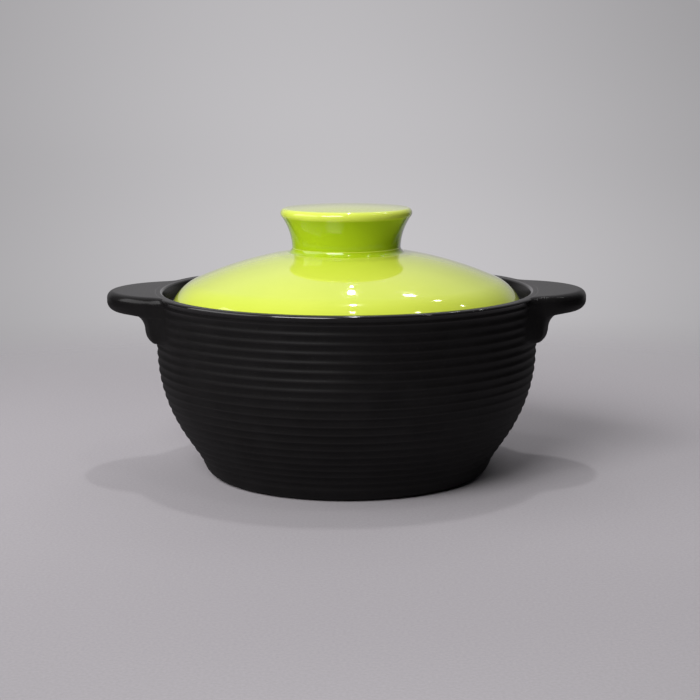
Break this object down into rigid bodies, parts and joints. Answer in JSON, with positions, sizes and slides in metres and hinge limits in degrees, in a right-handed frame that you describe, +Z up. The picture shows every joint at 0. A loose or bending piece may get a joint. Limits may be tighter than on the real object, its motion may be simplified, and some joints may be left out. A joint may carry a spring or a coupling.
{
  "type": "lidded casserole",
  "caption": "Round glazed porcelain casserole with a ribbed black bowl, flat lug handles and a lime green domed lid with a wide flared hollow knob.",
  "frame": {"origin": "centre of the base, on the surface the pot stands on", "axes": "+Z up through the lid knob, +X through the two handles, +Y away from the viewer of the picture"},
  "size_m": [0.2656, 0.2138, 0.1484],
  "materials": {
    "black_glaze": "satin black glaze over ribbed porcelain, gloss at the rim and handles",
    "green_glaze": "glossy lime green glaze"
  },
  "bodies": {
    "pot": {"pot_body": "black_glaze", "left_handle": "black_glaze", "right_handle": "black_glaze"},
    "lid": {"lid_shell": "green_glaze", "lid_knob": "green_glaze"}
  },
  "joints": [
    {"name": "lid_lift", "type": "slide", "parent": "pot", "child": "lid", "axis": [0, 0, 1], "range_m": [0, 0.2]}
  ]
}
